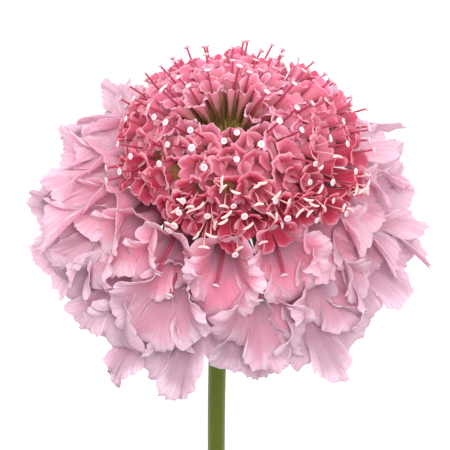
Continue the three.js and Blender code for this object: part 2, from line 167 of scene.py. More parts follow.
def mix(a, b, share):
    return a + (b - a) * share


def smooth(low, high, value):
    t = np.clip((value - low) / (high - low), 0, 1)
    return t * t * (3 - 2 * t)


def unit(v):
    return v / np.maximum(np.linalg.norm(v, axis=-1, keepdims=True), 1e-9)


def normals(points):
    """Directions square to a grid of points."""
    return unit(np.cross(np.gradient(points, axis=1), np.gradient(points, axis=0)))


def outward(azimuth):
    """The direction away from the head's axis, where azimuth 0 is the side that ends up on top."""
    azimuth = np.asarray(azimuth, float)
    return np.stack([np.sin(azimuth), -np.cos(azimuth), np.zeros_like(azimuth)], -1)


def on_head(azimuth, radius, height):
    return outward(azimuth) * np.asarray(radius)[..., None] + UP * np.asarray(height)[..., None]


def across_axis(axis, spin=0.0):
    """Two directions across an axis."""
    first = np.cross(UP, axis)
    first = unit(first) if np.linalg.norm(first) > 1e-3 else np.array([1.0, 0, 0])
    second = np.cross(axis, first)
    cosine, sine = math.cos(spin), math.sin(spin)
    return first * cosine + second * sine, second * cosine - first * sine


def bezier(points, t):
    """A point on a Bezier curve of any number of control points, for each t."""
    level = [np.asarray(p, float) for p in points]
    t = np.asarray(t)[..., None]
    while len(level) > 1:
        level = [a * (1 - t) + b * t for a, b in zip(level, level[1:])]
    return level[0]


def eased(angle, nodes, values):
    """Values between nodes, level at each node and the same all round."""
    nodes = np.concatenate([[nodes[-1] - 2 * math.pi], nodes, [nodes[0] + 2 * math.pi]])
    values = np.concatenate([[values[-1]], values, [values[0]]])
    place = np.clip(np.searchsorted(nodes, angle) - 1, 0, len(nodes) - 2)
    share = smooth(0, 1, (angle - nodes[place]) / (nodes[place + 1] - nodes[place]))
    return values[place] + (values[place + 1] - values[place]) * share


def heart():
    """The head's origin in the world, in millimetres, from the box of the turned receptacle."""
    low, high = (np.array(corner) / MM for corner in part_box("receptacle"))
    forward = max(math.cos(LIE_ANGLE) * z + math.sin(LIE_ANGLE) * r for r, z in RECEPTACLE)
    up = max(math.cos(LIE_ANGLE) * r + math.sin(LIE_ANGLE) * z for r, z in RECEPTACLE)
    return np.array([(low[0] + high[0]) / 2, low[1] + forward, high[2] - up])


HEART = heart()


def pressed(points):
    """Points eased up where they would lie on or under the floor."""
    clearance, softness, far_above, largest_power = 0.15, 0.8, 20, 40
    height = HEART[2] + points @ FLOOR_UP - clearance
    power = np.clip(height / softness, -largest_power, largest_power)
    raised = np.where(height > far_above, height, softness * np.log1p(np.exp(power)))
    return points + (raised - height)[..., None] * FLOOR_UP


# ---- rings of points ----

def spokes(first, second, sides):
    """Directions all round, from two that are square to each other."""
    angles = np.linspace(0, 2 * math.pi, sides, endpoint=False)
    return np.cos(angles)[:, None] * first + np.sin(angles)[:, None] * second


def rings_along(path, radii, sides, spin=0.0):
    """Rings round a path of points, square to it and without twist."""
    tangent = unit(np.gradient(path, axis=0))
    first, _ = across_axis(tangent[0], spin)
    rings = []
    for point, ahead, radius in zip(path, tangent, np.broadcast_to(radii, len(path))):
        first = unit(first - ahead * np.dot(first, ahead))
        rings.append(point + radius * spokes(first, np.cross(ahead, first), sides))
    return np.array(rings)


def rings_on_axis(path, radii, sides, axis):
    """Rings round points of one axis, which may run to and fro."""
    return path[:, None, :] + radii[:, None, None] * spokes(*across_axis(axis), sides)


def rounded(profile, rounds):
    """A profile with more points, rounded at its corners."""
    profile = np.array(profile, float)
    for _ in range(rounds):
        ends = profile[:-1] * 0.75 + profile[1:] * 0.25, profile[:-1] * 0.25 + profile[1:] * 0.75
        inner = np.stack(ends, 1).reshape(-1, 2)
        profile = np.concatenate([profile[:1], inner, profile[-1:]])
    return profile


def turned(profile, sides, wobble, rounds=2):
    """Rings round the head's axis through a rounded profile of (radius, height) pairs, a little wavy."""
    waves, thinnest = 8, 0.02
    radii, heights = rounded(profile, rounds).T[..., None]
    angles = np.linspace(0, 2 * math.pi, sides, endpoint=False)
    radii = np.maximum(radii, thinnest) * (1 + wobble * np.cos(waves * angles))
    return on_head(-angles, radii, heights * np.ones(sides))


# ---- meshes ----

# What the materials read at each point: from a piece's foot to its end, from side to side, a random value,
# how old it is together with painted light and shade, how pale (on the large petals a painted lift of their
# shade, on the small florets a tan near the crown), and whether it is on a sheet's lower face.
FIELDS = ("along", "across", "tone", "age", "pale", "under")
CREASE = math.radians(50)  # an edge that bends more than this stays sharp


class Patchwork:
    """A mesh that grows patch by patch. Each patch brings points, faces and its values of FIELDS."""

    def __init__(self, name):
        self.name = name
        self.points = []
        self.faces = []
        self.values = {field: [] for field in FIELDS}
        self.count = 0

    def add(self, points, faces, **values):
        self.points.append(points.reshape(-1, 3))
        self.faces += [face + self.count for face in faces]
        size = self.points[-1].shape[0]
        for field in FIELDS:
            value = np.asarray(values.get(field, 0.0), np.float32).ravel()
            self.values[field].append(np.broadcast_to(value, size) if value.size == 1 else value)
        self.count += size

    def sheet(self, points, thickness, **values):
        """A closed thin solid round a grid of points."""
        rows, columns = points.shape[:2]
        offset = normals(points) * thickness / 2
        index = np.arange(rows * columns).reshape(rows, columns)
        size = index.size
        top = np.stack([index[:-1, :-1], index[:-1, 1:], index[1:, 1:], index[1:, :-1]], -1).reshape(-1, 4)
        rim = np.concatenate([index[0], index[1:, -1], index[-1, -2::-1], index[-2:0:-1, 0]])
        after = np.roll(rim, -1)
        edge = np.stack([after, rim, rim + size, after + size], -1)
        both = {"under": np.repeat([0.0, 1.0], size)}
        for key, value in values.items():
            both[key] = np.concatenate([np.broadcast_to(value, (rows, columns)).ravel()] * 2)
        faces = [top, top[:, ::-1] + size, edge]
        self.add(np.concatenate([points + offset, points - offset]), faces, **both)

    def tube(self, rings, **values):
        """A closed solid of rings, each with the same number of points."""
        count, sides = rings.shape[:2]
        index = np.arange(count * sides).reshape(count, sides)
        after = np.roll(index, -1, axis=1)
        quads = np.stack([index[:-1], after[:-1], after[1:], index[1:]], -1).reshape(-1, 4)
        first, last = count * sides, count * sides + 1
        start = np.stack([np.full(sides, first), after[0], index[0]], -1)
        end = np.stack([np.full(sides, last), index[-1], after[-1]], -1)
        points = np.concatenate([rings.reshape(-1, 3), rings[0].mean(0)[None], rings[-1].mean(0)[None]])
        spread = {}
        for key, value in values.items():
            value = np.asarray(value, float)
            if value.size > 1:
                whole = np.broadcast_to(value.reshape(count, -1), (count, sides))
                value = np.concatenate([whole.ravel(), [whole[0].mean(), whole[-1].mean()]])
            spread[key] = value
        self.add(points, [quads, start, end], **spread)

    def thread(self, points, radii, steps, sides, **values):
        """A thin tube along a Bezier curve, which it returns."""
        along = np.linspace(0, 1, steps)
        path = bezier(points, along)
        self.tube(rings_along(path, radii, sides), along=along, **values)
        return path

    def build(self, material, slot, *nodes):
        """Make the object, which stands for these CAD nodes."""
        world = (np.concatenate(self.points) @ HEAD_AXES + HEART) * MM
        corners = np.concatenate([face.ravel() for face in self.faces])
        sizes = np.concatenate([np.full(len(face), face.shape[1]) for face in self.faces])
        data = bpy.data.meshes.new(self.name)
        data.vertices.add(len(world))
        data.vertices.foreach_set("co", world.astype(np.float32).ravel())
        data.loops.add(len(corners))
        data.loops.foreach_set("vertex_index", corners.astype(np.int32))
        data.polygons.add(len(sizes))
        starts = np.concatenate([[0], np.cumsum(sizes)[:-1]])
        data.polygons.foreach_set("loop_start", starts.astype(np.int32))
        data.update(calc_edges=True)
        data.shade_smooth()
        data.set_sharp_from_angle(angle=CREASE)
        for field in FIELDS:
            layer = data.attributes.new(field, "FLOAT", "POINT")
            layer.data.foreach_set("value", np.concatenate(self.values[field]).astype(np.float32))
        data.materials.append(material)
        piece = bpy.data.objects.new(self.name, data)
        bpy.context.scene.collection.objects.link(piece)
        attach(piece, "root")
        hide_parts(*nodes)


# ---- materials ----

BLACK, WHITE = (0, 0, 0, 1), (1, 1, 1, 1)


def tint(red, green, blue):
    """A colour from its sRGB values of 0 to 255."""
    linear = [c / 255 / 12.92 if c <= 10 else ((c / 255 + 0.055) / 1.055) ** 2.4 for c in (red, green, blue)]
    return (*linear, 1.0)


class Paint:
    """Node-building shorthand for one material."""

    def __init__(self, name):
        self.material = bpy.data.materials.new(name)
        self.material.use_nodes = True
        self.tree = self.material.node_tree
        self.shader = self.tree.nodes["Principled BSDF"]
        self.output = self.tree.nodes["Material Output"]

    def node(self, kind, **settings):
        made = self.tree.nodes.new(kind)
        for key, value in settings.items():
            setattr(made, key, value)
        return made

    def put(self, value, socket):
        if isinstance(value, bpy.types.NodeSocket):
            self.tree.links.new(value, socket)
        else:
            socket.default_value = value

    def value(self, field):
        return self.node("ShaderNodeAttribute", attribute_name=field).outputs["Fac"]

    def math(self, operation, *inputs):
        made = self.node("ShaderNodeMath", operation=operation)
        for number, value in enumerate(inputs):
            self.put(value, made.inputs[number])
        return made.outputs[0]

    def times(self, value, factor):
        return self.math("MULTIPLY", value, factor)

    def stirred(self, value, cloud, amount):
        """A value that noise moves to and fro."""
        return self.math("ADD", value, self.times(self.math("SUBTRACT", cloud, 0.5), amount))

    def ramp(self, factor, *stops):
        made = self.node("ShaderNodeValToRGB")
        while len(made.color_ramp.elements) < len(stops):
            made.color_ramp.elements.new(0.5)
        for element, (place, colour) in zip(made.color_ramp.elements, stops):
            element.position, element.color = place, colour
        self.put(factor, made.inputs[0])
        return made.outputs[0]

    def blend(self, factor, a, b, how="MIX"):
        """Two colours blended. The node's colours are its inputs 6 and 7 and its output 2."""
        made = self.node("ShaderNodeMix", data_type="RGBA", blend_type=how)
        self.put(factor, made.inputs[0])
        self.put(a, made.inputs[6])
        self.put(b, made.inputs[7])
        return made.outputs[2]

    def multiplied(self, factor, colour, by):
        """A colour that is partly multiplied by another."""
        return self.blend(factor, colour, self.blend(1.0, colour, by, "MULTIPLY"))

    def noise(self, scale, detail, place=None):
        """Noise over a place, which is the object's own where none is given."""
        made = self.node("ShaderNodeTexNoise")
        made.inputs["Scale"].default_value = scale
        made.inputs["Detail"].default_value = detail
        if place is None:
            place = self.node("ShaderNodeTexCoord").outputs["Object"]
        self.put(place, made.inputs["Vector"])
        return made.outputs["Fac"]

    def place(self, x, y, z=0.0):
        made = self.node("ShaderNodeCombineXYZ")
        for number, value in enumerate((x, y, z)):
            self.put(value, made.inputs[number])
        return made.outputs[0]

    def bump(self, height, strength, distance):
        made = self.node("ShaderNodeBump")
        made.inputs["Strength"].default_value = strength
        made.inputs["Distance"].default_value = distance
        self.put(height, made.inputs["Height"])
        self.put(made.outputs[0], self.shader.inputs["Normal"])
        return made.outputs[0]

    def finish(self, colour, roughness, through=0.0, sheen=0.0, specular=0.3, normal=None):
        """The material, which lets light through by the share "through"."""
        self.put(colour, self.shader.inputs["Base Color"])
        self.shader.inputs["Roughness"].default_value = roughness
        self.shader.inputs["Specular IOR Level"].default_value = specular
        self.shader.inputs["Sheen Weight"].default_value = sheen
        if through:
            lit = self.node("ShaderNodeBsdfTranslucent")
            self.put(colour, lit.inputs["Color"])
            self.put(normal, lit.inputs["Normal"])
            both = self.node("ShaderNodeMixShader")
            both.inputs[0].default_value = through
            self.put(self.shader.outputs[0], both.inputs[1])
            self.put(lit.outputs[0], both.inputs[2])
            self.put(both.outputs[0], self.output.inputs["Surface"])
        return self.material


def petal_paint():
    """Large petals: dusky rose in the throat, pale lilac pink outwards, whitish at the ruffled edge. The
    outer whorls are greyer, partly as painted shade, and florets from the two sides on are painted paler to
    lift their shade.
    """
    paint = Paint("ray_petal")
    along, across = paint.value("along"), paint.value("across")
    fan = paint.place(paint.times(across, 24), paint.times(along, 1.2), paint.value("tone"))
    veins = paint.noise(scale=1, detail=1, place=fan)
    reach = paint.stirred(along, paint.noise(scale=330, detail=6), 0.5)
    upper = paint.ramp(
        reach,
        (0.0, tint(210, 136, 164)), (0.3, tint(222, 150, 180)),
        (0.5, tint(250, 152, 186)), (0.72, tint(254, 186, 210)),
        (0.88, tint(255, 238, 246)),
    )
    # The outer ramp is greyer and darker: partly the outer florets' own lilac, partly painted shade on the
    # low front petals.
    outer = paint.ramp(
        reach,
        (0.0, tint(186, 128, 153)), (0.35, tint(198, 156, 177)),
        (0.68, tint(210, 184, 199)), (0.9, tint(242, 232, 240)),
    )
    colour = paint.blend(paint.value("age"), upper, outer)
    # Painted light: florets from the two sides on are blended towards a pale tint, which lifts the shade
    # that falls on them.
    colour = paint.blend(paint.times(paint.value("pale"), 0.65), colour, tint(243, 222, 233))
    line = paint.ramp(veins, (0.32, BLACK), (0.62, WHITE))
    colour = paint.multiplied(paint.times(line, 0.42), colour, tint(248, 176, 206))
    colour = paint.blend(paint.times(paint.value("under"), 0.25), colour, tint(236, 214, 226))
    normal = paint.bump(veins, strength=0.45, distance=0.0003)
    return paint.finish(colour, roughness=0.62, through=0.5, sheen=0.1, specular=0.2, normal=normal)


def floret_paint():
    """Small florets: olive and brownish pink tubes, dusky throats and light pink rims, crimson low down,
    lighter at the back of the dome as painted light.
    """
    paint = Paint("disc_petal")
    along, across, tone = paint.value("along"), paint.value("across"), paint.value("tone")
    cloud = paint.noise(scale=420, detail=3)
    reach = paint.stirred(along, cloud, 0.25)
    young = paint.ramp(
        reach,
        (0.0, tint(160, 130, 76)), (0.3, tint(234, 180, 168)),
        (0.5, tint(242, 180, 192)), (0.75, tint(252, 180, 206)),
        (0.9, tint(252, 184, 211)), (1.0, tint(255, 232, 242)),
    )
    old = paint.ramp(
        reach,
        (0.0, tint(140, 110, 60)), (0.3, tint(190, 104, 108)),
        (0.5, tint(220, 92, 122)), (0.75, tint(216, 74, 110)),
        (0.9, tint(234, 106, 142)), (1.0, tint(253, 206, 222)),
    )
    # The old colour's share is partly painted light: it is lower at the back of the dome, so the top of the
    # view is lighter.
    colour = paint.blend(paint.value("age"), young, old)
    inner = paint.ramp(along, (0.45, WHITE), (0.9, BLACK))
    colour = paint.blend(paint.times(paint.value("pale"), inner), colour, tint(214, 158, 130))
    rim = paint.math("POWER", paint.math("ABSOLUTE", across), 6.0)
    colour = paint.blend(paint.times(rim, 0.3), colour, tint(248, 176, 198))
    colour = paint.multiplied(paint.times(tone, 0.4), colour, tint(236, 156, 178))
    normal = paint.bump(cloud, strength=0.3, distance=0.0002)
    return paint.finish(colour, roughness=0.55, through=0.62, sheen=0.05, normal=normal)


def plain_paint(name, low, high, roughness, through=0.0):
    """Two tones that change along a piece, clouded by fine noise."""
    paint = Paint(name)
    cloud = paint.noise(scale=900, detail=3)
    place = paint.stirred(paint.value("along"), cloud, 0.5)
    colour = paint.ramp(place, (0.0, tint(*low)), (1.0, tint(*high)))
    normal = paint.bump(cloud, strength=0.3, distance=0.0001)
    return paint.finish(colour, roughness, through=through, normal=normal)


def stem_paint():
    """The stem: olive green with fine lengthwise fibres."""
    paint = Paint("stem_skin")
    across, along = paint.value("across"), paint.value("along")
    lengthwise = paint.place(paint.times(across, 9), paint.times(along, 5))
    fibres = paint.noise(scale=1, detail=3, place=lengthwise)
    cloud = paint.noise(scale=140, detail=2)
    colour = paint.blend(fibres, tint(66, 80, 4), tint(112, 126, 26))
    colour = paint.blend(paint.times(cloud, 0.4), colour, tint(92, 104, 20))
    normal = paint.bump(fibres, strength=0.35, distance=0.0002)
    return paint.finish(colour, roughness=0.5, sheen=0.05, specular=0.2, normal=normal)


# ---- lobes of a trumpet-shaped floret, large or small ----

def borders_between(angles):
    """The borders between lobes whose middles lie at these angles."""
    return np.concatenate([[-math.pi], (angles[1:] + angles[:-1]) / 2, [math.pi]])


def lobe_length(cut, shape, w, random):
    """Where a lobe ends across its width, as a share of its length: a round margin with uneven teeth."""
    teeth = 1 - np.abs(np.cos(math.pi * cut["teeth"] * w + 1.5 * np.sin(3 * w + random.uniform(0, 6))))
    uneven = 1 + 0.8 * np.sin(w * random.uniform(6, 9) + random.uniform(0, 6))
    broad = np.sin(w * random.uniform(3, 5) + random.uniform(0, 6)) + 0.7 * np.sin(w * random.uniform(7, 11))
    fine = np.abs((w * 6.5 + 0.8 * np.sin(5 * w + random.uniform(0, 6))) % 1 - 0.5) * 2
    rim = cut["notch"] + (1 - cut["notch"]) * np.sqrt(np.maximum(1 - np.abs(w) ** shape["round"], 0))
    return rim - cut["tooth"] * uneven * teeth - cut["fine"] * fine + cut["broad"] * broad


def lobe_sheet(cut, shape, k, w, t, free, scale, random):
    """A lobe before its ruffles: lengthwise a curve that turns outwards, across an arc of the trumpet."""
    centre, left, right = shape["angles"][k], shape["borders"][k], shape["borders"][k + 1]
    share = np.where(w < 0, centre - left, right - centre)
    angle = centre + w * share * (1 + cut["widen"] * free)
    reach = eased(centre + w * share, shape["angles"], shape["reaches"])
    mouth = eased(centre + w * share, shape["angles"], shape["mouths"])
    ahead = bezier([[0], [shape["start"]], [shape["end"]], [random.uniform(0.8, 1.1)]], t)[..., 0] * reach
    flare = bezier([[0], [shape["early"]], [shape["late"]], [1.0]], t)[..., 0]
    radius = cut["throat"] * scale + flare * (mouth - cut["throat"] * scale)
    down, aside = shape["squash"] * np.cos(angle), np.sin(angle)
    out = -shape["up"] * down[..., None] + shape["right"] * aside[..., None]
    return shape["throat"] + shape["ahead"] * ahead[..., None] + out * radius[..., None]


def lobe_waves(cut, w, t, free, layer, ruffle, random):
    """How high a lobe stands off its sheet: ruffles that grow towards the margin, and pleats."""
    margin = np.maximum(smooth(0.4, 1, t), smooth(0.5, 1.05, np.abs(w)) * smooth(0.3, 0.6, t))
    wave = cut["layer"] * free * w**2 * layer
    for order, (turns, drift, height) in enumerate(cut["waves"]):
        turns, drift = turns * random.uniform(0.8, 1.25), drift * random.uniform(-1, 1)
        height = height * ruffle * random.uniform(0.6, 1.3)
        ripple = np.cos(math.pi * turns * w + drift * t + random.uniform(0, 6.3))
        wave = wave + height * margin ** (1 + 0.8 * order) * ripple
    pleats = cut["pleats"] * random.uniform(0.8, 1.2)
    return wave + cut["pleat"] * smooth(0.3, 0.9, t) * np.cos(math.pi * pleats * w + random.uniform(0, 6))


def lobe(patchwork, shape, k, cut, random, layer=0, ruffle=1.0, fade=(0, 1), scale=1.0, **values):
    """One lobe with its share of a trumpet, cut free beyond the notch. "layer" lifts its two sides, and
    "fade" is what the field "along" says at its foot and at its margin."""
    w = np.sin(np.linspace(-1, 1, cut["columns"]) * math.pi * CROWDING) / math.sin(math.pi * CROWDING)
    w = w[None, :]
    steps = np.linspace(0, 1, cut["rows"])[:, None]
    t = steps * lobe_length(cut, shape, w, random)
    free = smooth(cut["notch"] * 0.7, 0.95, t)
    points = lobe_sheet(cut, shape, k, w, t, free, scale, random)
    wave = lobe_waves(cut, w, t, free, layer, ruffle, random)
    points = points + normals(points) * (wave * scale)[..., None]
    patchwork.sheet(pressed(points), cut["thick"], along=mix(*fade, steps), across=w, **values)


# ---- the skirt of large florets ----

def hang(azimuth):
    """How far the skirt hangs at an azimuth: 1 on the side that ends up on top, and less than 0 from the
    two sides on."""
    even = HANG["once"] * math.cos(azimuth) + HANG["twice"] * math.cos(2 * azimuth)
    return even + HANG["aside"] * math.sin(azimuth) - HANG["rise"]


def ray_floret(whorl, azimuth, reaches, draw):
    """One large floret: a root, a throat and the tips of its three lobes."""
    kind = WHORLS[whorl]
    away = 1 - max(0, math.cos(azimuth))  # 0 on the side that ends up on top, 1 from the two sides on
    fan = {name: mix(*ends, away) for name, ends in FAN.items()}
    middle_sink, throat_lean = 0.35, 0.25

    def about(name):
        return kind[name] * mix(1 - LOBE_STRAY[name], 1 + LOBE_STRAY[name], draw())

    stray = mix(-1, 1, draw()) * kind["stray"]
    lobes = []
    for k, reach in enumerate(reaches):
        towards = azimuth + (k - 1) * math.radians(about("spread")) * fan["spread"]
        stray_drop = mix(-LOBE_STRAY["drop"], LOBE_STRAY["drop"], draw())
        drop = stray + stray_drop + kind["fold"] * fan["fold"] * (abs(k - 1) - middle_sink)
        height = kind["height"] - kind["lean"] * hang(towards) + drop
        tip = on_head(towards, reach * fan["reach"], height)
        lobes.append({"tip": tip, "ruffle": about("ruffle") * fan["ruffle"]})
    level = kind["throat"][1] - throat_lean * kind["lean"] * hang(azimuth)
    return {
        "whorl": whorl, "azimuth": azimuth, "away": away, "fan": fan, "lobes": lobes,
        "root": on_head(azimuth, RAY_ROOT["radius"], mix(RAY_ROOT["height"], level, RAY_ROOT["follow"])),
        "throat": on_head(azimuth, kind["throat"][0], level),
    }


def ray_florets():
    """Every large floret: first those that stand for the solids', then those between them."""
    florets = []
    for key, draw in (("florets", stream(42)), ("between", stream(34))):
        for whorl, kind in enumerate(WHORLS):
            for degrees, *reaches in kind[key]:
                florets.append(ray_floret(whorl, math.radians(degrees), reaches, draw))
    return florets


def ray_trumpet(floret, random):
    """How a large floret opens: its axis and, for the angles round it from below, how far ahead and how far
    out the rim lies. Two small lobes stand at the top, and the three large ones end at their tips."""
    throat, fan, away = floret["throat"], floret["fan"], floret["away"]
    tips = [lobe["tip"] for lobe in floret["lobes"]]
    ahead = unit(((tips[0] + tips[2]) / 2 - throat) * [1, 1, TRUMPET["flatten"]])
    up = unit(UP - ahead * ahead[2])
    right = np.cross(ahead, up)
    if right @ outward(floret["azimuth"] + math.pi / 2) < 0:
        right = -right
    middle, inner, outer = TRUMPET["middle"], fan["inner"], fan["outer"]
    angles, reaches, mouths = [], [], []
    for tip, (low, high) in zip(tips, ((-outer, -inner), (-middle, middle), (inner, outer))):
        beyond = tip - throat
        angles.append(np.clip(math.atan2(beyond @ right, -beyond @ up), low, high))
        reaches.append(beyond @ ahead)
        flat = TRUMPET["middle_mouth"] if low < 0 < high else abs(beyond @ right) / math.sin(inner)
        mouths.append(mix(math.hypot(beyond @ right, beyond @ up), flat, away))
    upright = 1 - away if floret["whorl"] == 0 else 0
    small = random.uniform(4, 5.6, 2) - upright
    lift = random.uniform(3.6, 4.8, 2) + 3.2 * upright
    angles = np.array([-TRUMPET["lip_angle"], *angles, TRUMPET["lip_angle"]])
    borders = borders_between(angles)
    borders[[1, 4]] = mix(borders[[1, 4]], TRUMPET["lip_border"] * np.array([-1, 1]), away)
    return {
        **fan, "throat": throat, "ahead": ahead, "up": up, "right": right,
        "angles": angles, "borders": borders,
        "reaches": np.array([small[0], *reaches, small[1]]),
        "mouths": np.array([lift[0], *mouths, lift[1]]),
    }


def ray_tube(patchwork, floret):
    """The narrow tube of a large floret, open at the throat."""
    root, throat = floret["root"], floret["throat"]
    outside = [0, 0.3, 0.6, 0.85, 1.0]
    inside = [0.97, 0.8, 0.6]
    radii = np.array([0.7, 0.8, 1.0, 1.4, 1.9, 1.75, 1.2, 0.6])
    path = root + np.array(outside + inside)[:, None] * (throat - root)
    rings = rings_on_axis(path, radii, 16, unit(throat - root))
    along = np.array([0.3, 0.2, 0.1, 0.1, 0.1, 0, 0, 0])
    patchwork.tube(pressed(rings), along=along, age=floret["whorl"] / 2)


def make_skirt():
    """The three whorls, one piece each. Of a floret's five lobes the first and the last are its lip."""
    paint = petal_paint()
    random = np.random.default_rng(5)
    florets = ray_florets()
    for whorl, name in enumerate(WHORL_NAMES):
        patchwork = Patchwork(name)
        for floret in florets:
            if floret["whorl"] != whorl:
                continue
            ray_tube(patchwork, floret)
            shape = ray_trumpet(floret, random)
            for k in range(5):
                # Painted light: florets from the two sides on get paler petals, to lift the shade that falls
                # on them, and the outer whorls' greyer ramp is partly painted shade.
                values = {"tone": random.uniform(0, 9), "age": WHORL_AGES_AND_SHADE[whorl], "pale": floret["away"]}
                if k in (0, 4):
                    lobe(patchwork, shape, k, RAY_LIP, random, fade=(0, 0.85), **values)
                else:
                    layer, ruffle = 1 if k == 2 else -1, floret["lobes"][k - 1]["ruffle"]
                    lobe(patchwork, shape, k, RAY_CUT, random, layer=layer, ruffle=ruffle, **values)
        patchwork.build(paint, "pale_pink_petal", "ray_florets")
    return florets


# ---- the dome of small florets ----

def disc_florets():
    """Every small floret: where it starts, which way it stands, how long it is and how far it opens."""
    random = np.random.default_rng(11)
    inner, rim = math.cos(math.radians(DISC["inner"])), math.cos(math.radians(DISC["rim"]))
    florets = []
    for k in range(DISC["count"]):
        polar = math.acos(mix(rim, inner, 1 - (1 - (k + 0.5) / DISC["count"]) ** DISC["crowd"]))
        azimuth = k * GOLDEN + random.uniform(-0.12, 0.12)
        front = math.cos(azimuth)
        if polar < math.radians(DISC["gap"]) and front > 0.1:
            continue
        low, high = math.sin(polar), math.cos(polar)  # how near it is to the rim and the crown
        mouth = on_head(azimuth, DOME["radius"] * low, DOME["height"] * high)
        mouth[0] += DOME["shift"] * low**2
        root = on_head(azimuth, DISC["root_radius"] * low, DISC["root_height"] * high)
        axis = mouth - root
        length = np.linalg.norm(axis) * random.uniform(0.86, 0.98)
        size = random.uniform(0.88, 1.12) * mix(0.84, 1.04, low)
        opened = random.uniform(0.25, 1.15) * mix(0.8, 1, low) * mix(1, 0.5, smooth(0.3, -0.5, front))
        opened += 0.5 * smooth(0, 0.5, front) * smooth(60, 30, math.degrees(polar))
        florets.append({
            "polar": polar, "azimuth": azimuth, "root": root, "axis": unit(axis),
            "length": length, "size": size, "open": opened,
            "spin": random.uniform(0, 2 * math.pi), "tone": random.uniform(0, 1),
        })
    return florets


def disc_corolla(patchwork, floret, random):
    """A narrow tube, from its foot in the bed, that opens into a small trumpet of five lobes. The lobe that
    points away from the crown is the largest."""
    length, size, axis, root = floret["length"], floret["size"], floret["axis"], floret["root"]
    degrees, front, spin = math.degrees(floret["polar"]), math.cos(floret["azimuth"]), floret["spin"]
    youth = 1 - smooth(40, 75, degrees)
    behind, facing = smooth(0.6, -0.6, front), smooth(0.6, 0.95, front)
    depth = mix(5.2, 7.6, youth) * size
    along = np.array([0, 0.35, 0.6, 0.8, 1]) * (length - depth)
    radii = np.array([0.5, 0.5, 0.52, 0.58, 0.62]) * size
    # Painted light: florets at the back of the dome, which ends up on top, are painted younger and lighter,
    # and less darkened by their tone, as if lit from above.
    values = {
        "tone": floret["tone"] * mix(1, 0.4, behind),
        "age": (1 - youth) * mix(1, 0.4, behind) + 0.45 * youth * facing,
        "pale": 0.9 - 0.9 * smooth(18, 46, degrees),
    }
    rings = rings_along(root + along[:, None] * axis, radii, 8, spin)
    patchwork.tube(rings, along=0.45 * along / along[-1], **values)
    up, right = across_axis(axis)

    def out(angle):
        return -up * math.cos(angle) + right * math.sin(angle)

    angles = (np.arange(5) + 0.5) * 2 * math.pi / 5 - math.pi + random.uniform(-0.12, 0.12, 5)
    downhill = np.array([out(angle) @ outward(floret["azimuth"]) for angle in angles + spin])
    big = (1 + 0.3 * downhill) * random.uniform(0.85, 1.15, 5)
    opened = floret["open"] * random.uniform(0.85, 1.15, 5)
    shape = {
        "throat": root + axis * (length - depth), "ahead": axis,
        "up": -out(spin), "right": np.cross(out(spin), axis), "squash": 1, "round": 4.5,
        "angles": angles, "borders": borders_between(angles),
        "start": 0.55, "end": 1.1, "early": 0.3, "late": 0.55,
        "reaches": mix(6.2, 4.2, opened) * (1 + 0.4 * youth * behind) * size * mix(1, big, 0.5),
        "mouths": mix(1.7, 3.7, opened) * size * big,
    }
    cut = DISC_CUT if random.random() < 0.25 + youth else STAR_CUT
    for k in range(5):
        layer = random.uniform(-1, 1)
        lobe(patchwork, shape, k, cut, random, layer=layer, fade=(0.45, 1), scale=size, **values)


def pin(styles, stigmas, floret, random):
    """A style that stands out of a floret, with its stigma: a small dished head."""
    axis = floret["axis"]
    first, _ = across_axis(axis, random.uniform(0, 6.3))
    start = floret["root"] + axis * (floret["length"] - 6)
    reach = 6 + random.uniform(1.2, 3.4)
    tip = start + axis * reach + first * random.uniform(0, 0.9)
    path = styles.thread([start, start + axis * reach * 0.6, tip], 0.2, 6, 6, tone=random.uniform(0, 1))
    ahead = unit(path[-1] - path[-2] + first * random.uniform(-0.2, 0.2))
    stigma(stigmas, path[-1], ahead, random.uniform(0.52, 0.64))


def stigma(stigmas, foot, axis, radius):
    """A small dished head, from a profile of (radius, height) pairs."""
    profile = np.array([
        (0.2, -0.1), (0.3, 0.12), (0.72, 0.34), (1.0, 0.52),
        (1.02, 0.68), (0.85, 0.8), (0.4, 0.72), (0.06, 0.66),
    ])
    path = foot + profile[:, 1:] * axis * radius
    rings = rings_on_axis(path, profile[:, 0] * radius, 12, axis)
    stigmas.tube(rings, along=np.array([0.2, 0.3, 0.7, 1, 1, 0.9, 0.5, 0.3]))


def stamen(filaments, anthers, floret, random):
    """A thin filament with a cream anther set crosswise on its end."""
    axis = floret["axis"]
    first, second = across_axis(axis, random.uniform(0, 6.3))
    start = floret["root"] + axis * (floret["length"] - 3) + first * 0.7
    ahead, aside, across = random.uniform(3.6, 5.6), random.uniform(0.3, 2.2), random.uniform(-0.8, 0.8)
    tip = start + axis * ahead + first * aside + second * across
    path = filaments.thread([start, start + axis * 3 + first * 0.3, tip], 0.1, 6, 5)
    lie = unit(np.cross(axis, first) + 0.5 * axis * random.uniform(-1, 1) + first * random.uniform(-1, 1))
    length = random.uniform(0.85, 1.15)
    steps = np.linspace(-1, 1, 7)
    bend = np.cross(lie, axis) * 0.25
    spine = path[-1] + steps[:, None] * lie * length + (steps**2)[:, None] * bend
    anthers.tube(rings_along(spine, 0.27 * np.sqrt(1.02 - steps**2 * 0.9), 8), along=np.abs(steps))


